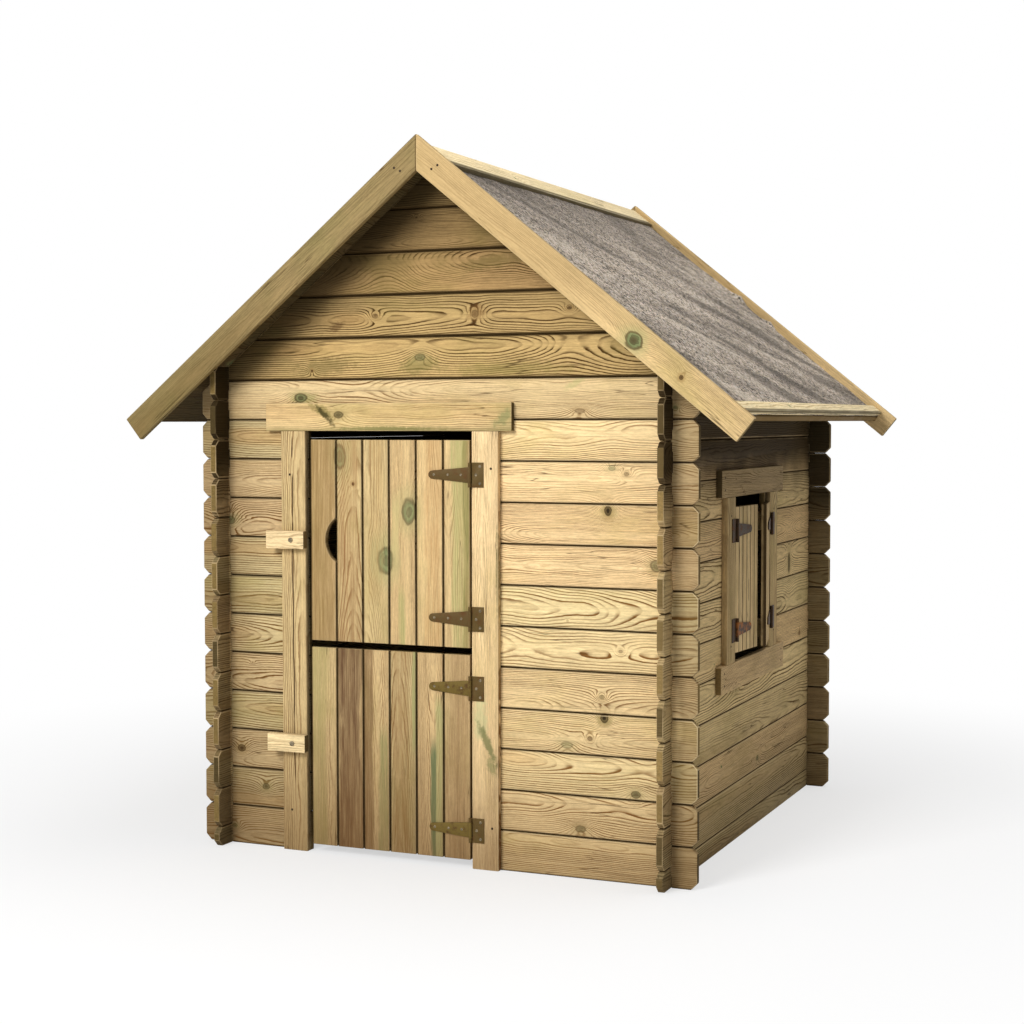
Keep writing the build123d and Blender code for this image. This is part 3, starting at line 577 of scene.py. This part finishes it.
dress("front_gable",
      pine("wall_pine_gable", X, Z, Y, GABLE_BOARD, WALL_TOP, UMBER, 4, gable_knots, wild=0.07,
           contrast=1.2, knotty=0.2, stain=0.6, level=0.98, grime_and_shade_width=0.010,
           marks=[gable_shade, soffit_shade], blots=[gable_blots], seam_width=0.0034))
dress("rear_wall",
      pine("wall_pine_rear", X, Z, Y, LOG_HEIGHT, 0.0, STRAW, 5, level=0.9,
           marks=[low_dirt_and_shade, far_tail_shade]))
dress("rear_gable",
      pine("wall_pine_rear_gable", X, Z, Y, GABLE_BOARD, WALL_TOP, UMBER, 6, wild=0.07, knotty=0.2,
           stain=0.6, grime_and_shade_width=0.012, marks=[gable_shade], seam_width=0.0042))
side_knots = [(0.372, 0.663, 0.010, 0.026, 0.3, 0.8)]
# Darker towards the ground on the side walls.
side_low_darkening = shadow_stain(Z, 0.44, -0.06, 0.60, (58, 46, 26))
for seed, node in enumerate(
        ["left_wall", "right_wall_bottom", "right_wall_front", "right_wall_rear", "right_wall_top"], 7):
    ends = {"end": (128, 106, 62) if node == "left_wall" else (150, 124, 76)}
    # Painted shade on the side faces of the log tails at the front corner.
    side_tail_shade = shadow_stain(Y, -0.656, -0.668, 0.66 if node == "left_wall" else 0.34, (40, 30, 14), 0.008)
    dress(node, pine("wall_pine_" + node, Y, Z, X, LOG_HEIGHT, HALF_LOG, {**SHADE, **ends}, seed, side_knots,
                     wild=0.022, contrast=0.9, knotty=0.25, stain=0.45, level=1.20, grime_and_shade_width=0.004,
                     marks=[eaves_shadow_and_stain, side_low_darkening, side_tail_shade], seam_width=0.0006))


# Trims and barge boards: single boards, so the pitch is wider than the piece
def single(name, grain, across, deep, node, tones, seed, **more):
    """Pine for one board, which stands free of the next one's seam."""
    spare = 0.016
    low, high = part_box(node)
    middle = (low[across] + high[across]) / 2
    pitch = (high[across] - low[across]) + spare
    return pine(name, grain, across, deep, pitch, middle - pitch / 2, tones, seed, seam_width=0.0, **more)


trim_bruise = blotches(Z, X, [
    (0.360, 0.120, 0.070, 0.024, 0.0, (186, 184, 134), 0.65),
    (0.300, 0.138, 0.066, 0.014, -0.46, (116, 118, 76), 0.85),
    (0.245, 0.150, 0.030, 0.016, -0.30, (128, 130, 84), 0.70),
    (0.700, 0.164, 0.140, 0.004, 0.0, (96, 90, 52), 0.70),
])
head_bruise = blotches(X, Z, [
    (-0.300, 1.078, 0.045, 0.017, -0.4, (128, 116, 66), 0.75),
    (-0.291, 1.068, 0.036, 0.013, -0.88, (62, 56, 30), 0.90),
    (-0.252, 1.067, 0.016, 0.012, 0.0, (108, 82, 50), 0.60),
    (0.184, 1.062, 0.034, 0.022, 0.6, (128, 130, 86), 0.70),
    (-0.120, 1.034, 0.200, 0.008, 0.0, (112, 112, 66), 0.70),
])
dress("door_trim_left",
      single("trim_pine_left", Z, X, Y, "door_trim_left", HONEY, 21, knotty=0.1,
             level=0.74, mixed=0.4, contrast=0.7, wild=0.02, year_width=0.8,
             marks=[long_crack(-0.379, 0.0026, 0.10, 1.02), low_dirt_and_shade]))
dress("door_trim_right",
      single("trim_pine_right", Z, X, Y, "door_trim_right", STRAW, 22, knotty=0.1,
             level=0.95, mixed=0.5, contrast=0.7, wild=0.02, year_width=0.8,
             marks=[low_dirt_and_shade], blots=[trim_bruise]))
dress("door_trim_head",
      single("trim_pine_head", X, Z, Y, "door_trim_head", HONEY, 23,
             knots=[(-0.252, 1.067, 0.012, 0.008, 0.3, 0.6)], knotty=0.05, level=0.90, contrast=0.7,
             mixed=0.4, blots=[head_bruise], marks=[
                 shadow_stain(X, 0.12, 0.22, 0.35, (140, 138, 88)),
                 shadow_stain(Z, 1.042, 1.026, 0.60, (104, 102, 56), 0.02)]))
# The window head sits in the eaves' shadow, so it is set darker than the sill: painted shadow.
for place, seed, level in (("head", 24, 0.60), ("sill", 25, 1.0)):
    dress("window_trim_" + place,
          single("trim_pine_window_" + place, Y, Z, X, "window_trim_" + place, SHADE, seed,
                 level=level, mixed=0.4, contrast=0.6))
for place, seed in (("front", 26), ("rear", 27)):
    dress("window_trim_" + place,
          single("trim_pine_window_" + place, Z, Y, X, "window_trim_" + place, SHADE, seed,
                 knotty=0.1))


def slope_span(node, turn):
    """Lowest and highest place across a sloped board, as the turned finish measures it."""
    heights = [v.co.z * math.cos(turn) - v.co.x * math.sin(turn) for v in nodes[node].data.vertices]
    return min(heights), max(heights)


left_end = shadow_stain(X, -0.30, -0.72, 0.42, (92, 82, 46), 0.05)
# Painted shade deepening towards the upper end of the right barges, against the key light.
high_end_shade = shadow_stain(Z, 1.14, 1.45, 0.50, (158, 132, 88), 0.05)
barge_knots = {"front_barge_right": [
    (-0.364, 1.2850, 0.019, 0.017, 0.9, 0.9), (-0.228, 1.291, 0.005, 0.005, 0.0, 0.8)]}
barge_spare = 0.006
for end in ("front", "rear"):
    for hand, side, tones, seed in (("left", 1, OLIVE, 31), ("right", -1, HONEY, 32)):
        node = end + "_barge_" + hand
        low, high = slope_span(node, side * ROOF_PITCH)
        finish = pine("trim_pine_" + node, X, Z, Y, high - low + 2 * barge_spare, low - barge_spare, tones,
                      seed + (5 if end == "rear" else 0), barge_knots.get(node, ()), wild=0.012,
                      contrast=0.5, knotty=0.06, level=0.72 if hand == "left" else 0.93,
                      turn=side * ROOF_PITCH, mixed=0.4, seam_width=0.0, year_width=0.7,
                      marks=[left_end if hand == "left" else high_end_shade])
        dress(node, finish, BARGE_ARRIS)
for hand, seed in (("left", 41), ("right", 42)):
    for kind in ("ridge_strip_", "eaves_strip_"):
        low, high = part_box(kind + hand)
        inset = 0.012 if kind == "ridge_strip_" else 0.006
        # Painted shade on the outer side face of each strip.
        rim = shadow_stain(X, high.x - inset, high.x - inset * 0.5, 0.78, (58, 48, 26), 0.0)
        if hand == "left":
            rim = shadow_stain(X, low.x + inset, low.x + inset * 0.5, 0.78, (58, 48, 26), 0.0)
        finish = single("trim_pine_" + kind + hand, Y, X, Z, kind + hand, PALE, seed, knotty=0.1,
                        wild=0.012, contrast=0.6, marks=[rim])
        dress(kind + hand, finish)
    # The deck is set very dark: painted shade under the roof. Its end face, which catches the light, keeps a
    # wood tone.
    deck_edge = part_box("roof_deck_" + hand)[0 if hand == "left" else 1].x
    inward = 0.012 if hand == "left" else -0.012
    deck_end_unshaded = shadow_stain(X, deck_edge + inward, deck_edge + inward * 0.6, 0.85, (134, 110, 72), 0.0)
    dress("roof_deck_" + hand,
          pine("deck_pine_" + hand, Y, X, Z, DECK_BOARD, 0.0, OLIVE, seed + 9, level=0.22, seam_width=0.0,
               turn=ROOF_PITCH if hand == "left" else -ROOF_PITCH, marks=[deck_end_unshaded]))

# Door leaves and shutters
lower_streaks = streaks([
    (-0.226, 0.044, -0.10, 0.62, (92, 66, 46), 0.74), (-0.176, 0.018, -0.10, 0.62, (98, 70, 44), 0.62),
    (-0.136, 0.016, -0.10, 0.34, (136, 136, 88), 0.60), (-0.052, 0.008, 0.24, 0.62, (146, 146, 96), 0.65),
    (-0.086, 0.030, -0.10, 0.62, (128, 92, 54), 0.40), (0.012, 0.012, -0.10, 0.42, (164, 164, 110), 0.62),
    (-0.002, 0.010, -0.10, 0.32, (86, 108, 74), 0.82), (-0.310, 0.030, -0.10, 0.62, (146, 138, 86), 0.45),
    (0.060, 0.030, -0.10, 0.62, (128, 98, 66), 0.35),
])
upper_streaks = streaks([
    (0.066, 0.030, 0.44, 1.10, (164, 164, 106), 0.45), (0.084, 0.010, 0.44, 1.10, (120, 112, 62), 0.50),
    (-0.300, 0.050, 0.44, 1.10, (134, 108, 66), 0.68), (-0.226, 0.040, 0.44, 1.10, (132, 92, 56), 0.42),
    (-0.155, 0.024, 0.60, 1.10, (168, 138, 90), 0.35), (0.000, 0.030, 0.44, 1.10, (176, 130, 80), 0.30),
    (-0.100, 0.012, 0.70, 0.90, (186, 172, 118), 0.50), (-0.085, 0.012, 0.44, 0.68, (150, 154, 96), 0.45),
])
upper_knots = [
    (0.9688, -0.2500, 0.027, 0.0150, 0.9, 0.45), (0.8374, -0.0660, 0.030, 0.0160, 0.85, 0.55),
    (0.7217, -0.1280, 0.032, 0.0200, 1.0, 0.55), (0.9019, -0.2140, 0.004, 0.0034, 0.0, 1.0),
]
dress("upper_door_boards",
      pine("door_pine_upper", Z, X, Y, LEAF_PITCH, LEAF_LEFT, HONEY, 51, upper_knots, wild=0.012,
           contrast=0.75, knotty=0.04, level=0.83, marks=[upper_streaks], year_width=0.6, mixed=0.4,
           seam_width=0.0022))
dress("lower_door_boards",
      pine("door_pine_lower", Z, X, Y, LEAF_PITCH, LEAF_LEFT, HONEY, 52, wild=0.012,
           contrast=0.75, knotty=0.04, stain=0.6, level=0.72, marks=[lower_streaks, low_dirt_and_shade],
           year_width=0.6, mixed=0.4, seam_width=0.0022))
for node, seed in (("upper_door_ledges", 53), ("lower_door_ledges", 54)):
    dress(node, pine("door_pine_" + node, X, Z, Y, LEDGE_FIELD, 0.0, HONEY, seed))
for node, seed, pitch, first in (
        ("front_shutter_boards", 55, 0.0263, -0.205), ("rear_shutter_boards", 56, 0.0258, -0.0407)):
    dress(node, pine("door_pine_" + node, Z, Y, X, pitch, first, SHADE, seed, wild=0.02, contrast=0.6,
                     knotty=0.0, seam_width=0.0006, grime_and_shade_width=0.003, mixed=0.3, level=1.12))
for node, seed in (("front_shutter_ledges", 57), ("rear_shutter_ledges", 58)):
    dress(node, pine("door_pine_" + node, Y, Z, X, LEDGE_FIELD, 0.0, SHADE, seed))
for node, seed in (("upper_turn_button", 61), ("lower_turn_button", 62)):
    dress(node, single("trim_pine_" + node, X, Z, Y, node, STRAW, seed, knotty=0.0, level=0.97, mixed=0.3,
                       contrast=0.5, wild=0.004, year_width=0.6))

# Hinges and screws
brown_hinge = rusty("hinge_metal_brown", (88, 70, 38), (90, 62, 34), 0.46)
plate_hinge = rusty("hinge_metal_plate", (88, 70, 36), (88, 62, 32), 0.48)
brass_hinge = rusty("hinge_metal_olive", (104, 86, 40), (82, 60, 32), 0.46)
dark_hinge = rusty("hinge_metal_dark", (62, 46, 30), (96, 62, 34), 0.50)
rust_hinge = rusty("hinge_metal_rust", (62, 46, 30), (96, 62, 34), 0.50, (-0.30, -0.03, 0.66))
dress("door_hinge_plates", plate_hinge, HINGE_ARRIS)
dress("upper_door_straps", brown_hinge, HINGE_ARRIS)
dress("lower_door_straps", brass_hinge, HINGE_ARRIS)
dress("shutter_hinge_plates", dark_hinge, HINGE_ARRIS)
dress("shutter_hinge_straps", rust_hinge, HINGE_ARRIS)
screw_finish = plain_metal("screw_steel_plain", (146, 132, 106), 0.6)
dress("turn_button_screws", screw_finish, SCREW_ARRIS)


def within(value):
    return max(0.0, min(1.0, value))


def bulge(place, middle, half):
    """One at the middle, falling off to both sides."""
    return math.exp(-((place - middle) / half) ** 2)


FELT_STEP, FELT_ROW, FELT_ROWS = 0.010, 0.03, 33
BUCKLE_RISE, WRINKLE_RISE, FOLD_DEPTH = 0.0090, 0.0026, 0.012


def creased_felt(node, side, finish, seed):
    """The felt of one slope: cut into a fine net, then buckled, with two lifted folds at the rear edge."""
    shape = merged_copy(node)
    low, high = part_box(node)
    down = Vector((side * math.cos(ROOF_PITCH), 0, -math.sin(ROOF_PITCH)))
    out = Vector((side * math.sin(ROOF_PITCH), 0, math.cos(ROOF_PITCH)))
    apex = Vector((0, 0, high.z))
    cuts = [((0, low.y + index * FELT_STEP, 0), (0, 1, 0))
            for index in range(1, int((high.y - low.y) / FELT_STEP))]
    cuts += [(apex + down * (index * FELT_ROW), down) for index in range(1, FELT_ROWS + 1)]
    for point, normal in cuts:
        bmesh.ops.bisect_plane(shape, geom=shape.verts[:] + shape.edges[:] + shape.faces[:], dist=0.00001,
                               plane_co=point, plane_no=normal)
    crease_shade = shape.verts.layers.float.new("crease")
    for vert in shape.verts:
        slope = (vert.co - apex).dot(down)
        back = vert.co.y - low.y
        warp = noise.noise(Vector((back * 2.6, slope * 2.6, seed + 4.0)))
        across = back - CREASE_SLANT * slope + 0.05 * warp
        fold = noise.noise(Vector((across * 5.0, slope * 4.0, seed)))
        small = noise.noise(Vector((across * 15.0, slope * 9.0, seed + 2.0)))
        spread = noise.noise(Vector((back * 3.0, slope * 3.0, seed + 6.0)))
        calm = 0.45 + 0.55 * within(0.5 + 1.4 * spread)
        valley = bulge(back, 0.10 + 0.07 * slope, 0.020) * within((slope - 0.45) * 4.0)
        rise = BUCKLE_RISE * calm * (0.5 + 0.5 * fold) + WRINKLE_RISE * (0.5 + 0.5 * small)
        rise *= 1.0 - 0.8 * valley
        if high.y - vert.co.y < FOLD_DEPTH:
            rise += 0.012 * bulge(slope, 0.42, 0.025) + 0.010 * bulge(slope, 0.54, 0.02)
        vert.co += out * (0.0002 + rise)
        # How deep the painted crease shade is at this point.
        vert[crease_shade] = within((0.12 - 1.8 * fold) * calm - 0.7 * small + 0.9 * valley)
    return show(node + "_finished", shape, finish, "house", (node,), 1.0)


felt = granules("roofing_felt_grey")
creased_felt("roof_felt_left", -1, felt, 3.0)
creased_felt("roof_felt_right", 1, felt, 8.0)


# Screw heads in the hinges and nail heads in the trims
def dome(shape, centre, normal, radius, height):
    """A low round head, standing on its place."""
    facing = Vector(normal).to_track_quat("Z", "Y").to_matrix().to_4x4()
    spot = Matrix.Translation(Vector(centre)) @ facing
    made = bmesh.ops.create_cone(shape, cap_ends=True, segments=14, radius1=radius, radius2=radius * 0.62,
                                 depth=height, matrix=spot @ Matrix.Translation((0, 0, height / 2)))
    top = [face for face in {f for v in made["verts"] for f in v.link_faces}
           if face.normal.dot(Vector(normal)) > 0.95]
    bmesh.ops.inset_region(shape, faces=top, thickness=radius * 0.25, depth=-height * 0.35)


def heads(name, places, normal, radius, height, finish, body):
    shape = bmesh.new()
    for place in places:
        dome(shape, place, normal, radius, height)
    return show(name, shape, finish, body)


def front_of(node, test):
    """Front face of the part of a piece that passes the test."""
    return min(v.co.y for v in nodes[node].data.vertices if test(v.co))


upper_heights, lower_heights = (0.927, 0.590), (0.427, 0.092)
plate_front = front_of("door_hinge_plates", lambda co: co.x > HINGE_X + 0.016)
strap_front = front_of("upper_door_straps", lambda co: co.x < HINGE_X - 0.030)
plate_screws = [(HINGE_X + dx, plate_front, z + dz) for z in upper_heights + lower_heights
                for dx, dz in ((0.025, 0.020), (0.015, 0.0), (0.025, -0.020))]
FORWARD, RIGHTWARD = (0, -1, 0), (1, 0, 0)
NAIL_RADIUS, NAIL_HEIGHT = 0.0030, 0.0006
heads("door_hinge_plate_screws", plate_screws, FORWARD, 0.0036, 0.0012, screw_finish, "house")
for leaf, heights in (("upper_door", upper_heights), ("lower_door", lower_heights)):
    strap_screws = [(HINGE_X - dx, strap_front, z) for z in heights for dx in (0.024, 0.058, 0.094)]
    heads(leaf + "_strap_screws", strap_screws, FORWARD, 0.0032, 0.0010, screw_finish, leaf)

nail_finish = plain_metal("nail_steel_dull", (74, 58, 42), 0.7)
trim_nails = [(x, TRIM_FACE, z) for x, z in (
    (-0.387, 0.923), (0.148, 0.942), (-0.387, 0.100), (0.150, 0.100))]
heads("door_trim_nails", trim_nails, FORWARD, NAIL_RADIUS, NAIL_HEIGHT, nail_finish, "house")
window_nails = [(WINDOW_TRIM_FACE, y, z) for y, z in (
    (-0.30, 0.885), (-0.30, 0.915), (0.22, 0.885), (0.22, 0.915), (-0.30, 0.41), (-0.30, 0.44), (0.23, 0.41),
    (0.23, 0.44), (-0.245, 0.50), (-0.245, 0.82), (0.150, 0.50), (0.150, 0.82))]
heads("window_trim_nails", window_nails, RIGHTWARD, NAIL_RADIUS, NAIL_HEIGHT, nail_finish, "house")
barge_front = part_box("front_barge_left")[0].y
barge_nails = [(side * run, barge_front, cad_high.z - run * math.tan(ROOF_PITCH) - drop)
               for side in (-1, 1) for run, drop in ((0.040, 0.050), (0.055, 0.030))]
heads("barge_nails", barge_nails, FORWARD, NAIL_RADIUS, NAIL_HEIGHT, nail_finish, "house")


# Studio: pale floor, white surround, broad soft light from the front left
def seen_by_eye(w):
    """One for rays from the camera, mirrors and glass, nought for light that falls on the piece."""
    rays = [w.make("ShaderNodeLightPath", None, None, name)
            for name in ("Is Camera Ray", "Is Glossy Ray", "Is Transmission Ray")]
    return w.math("MAXIMUM", rays[0], w.math("MAXIMUM", rays[1], rays[2]))


floor_shape = bmesh.new()
bmesh.ops.create_grid(floor_shape, x_segments=1, y_segments=1, size=30.0)
floor_mesh = bpy.data.meshes.new("studio_floor")
floor_shape.to_mesh(floor_mesh)
floor_shape.free()
floor = bpy.data.objects.new("studio_floor", floor_mesh)
bpy.context.scene.collection.objects.link(floor)
floor_finish = bpy.data.materials.new("studio_floor_white")
floor_finish.use_nodes = True
floor_tree = floor_finish.node_tree
floor_tree.nodes["Principled BSDF"].inputs["Base Color"].default_value = (0.8, 0.8, 0.8, 1)
floor_tree.nodes["Principled BSDF"].inputs["Roughness"].default_value = 0.9
w = Wire(floor_tree)
far = w.vector("LENGTH", w.make("ShaderNodeTexCoord", None, None, 3)).ease(0.9, 2.6, 0.60, 1.0)
glow = w.make("ShaderNodeEmission", None, {"Strength": 1.0})
matt = Wire(floor_tree, floor_tree.nodes["Principled BSDF"].outputs[0])
blend = w.make("ShaderNodeMixShader", None, {0: seen_by_eye(w) * far, 1: matt, 2: glow})
feed(floor_tree.nodes["Material Output"], "Surface", blend)
floor_mesh.materials.append(floor_finish)

world = bpy.data.worlds.new("studio")
bpy.context.scene.world = world
world.use_nodes = True
sky = world.node_tree
sky.nodes["Background"].inputs["Color"].default_value = (1, 1, 1, 1)
feed(sky.nodes["Background"], "Strength", 0.33 + seen_by_eye(Wire(sky)) * 0.67)


def lamp(name, place, target, width, height, power):
    light = bpy.data.lights.new(name, "AREA")
    light.shape = "RECTANGLE"
    light.size = width
    light.size_y = height
    light.energy = power
    holder = bpy.data.objects.new(name, light)
    holder.location = place
    holder.rotation_euler = (Vector(target) - Vector(place)).to_track_quat("-Z", "Y").to_euler()
    bpy.context.scene.collection.objects.link(holder)


lamp("key_light", (-1.2, -5.6, 3.6), (0.2, -0.4, 0.8), 2.4, 2.4, 335)
lamp("top_light", (1.5, 0.5, 5.5), (0.2, 0, 1.0), 3.0, 3.0, 135)

# Camera where the picture was taken from
camera_data = bpy.data.cameras.new("camera")
camera_data.lens = 63.41
camera_data.sensor_width = 36.0
camera = bpy.data.objects.new("camera", camera_data)
right = Vector((0.918918, 0.394447, -0.001104))
upward = Vector((-0.018858, 0.046728, 0.998730))
forward = Vector((-0.393997, 0.917730, -0.050378))
turn = Matrix((right, upward, -forward)).transposed().to_4x4()
camera.matrix_world = Matrix.Translation((1.84066, -4.49309, 1.05228)) @ turn
bpy.context.scene.collection.objects.link(camera)
bpy.context.scene.camera = camera
bpy.context.scene.view_settings.view_transform = "Standard"
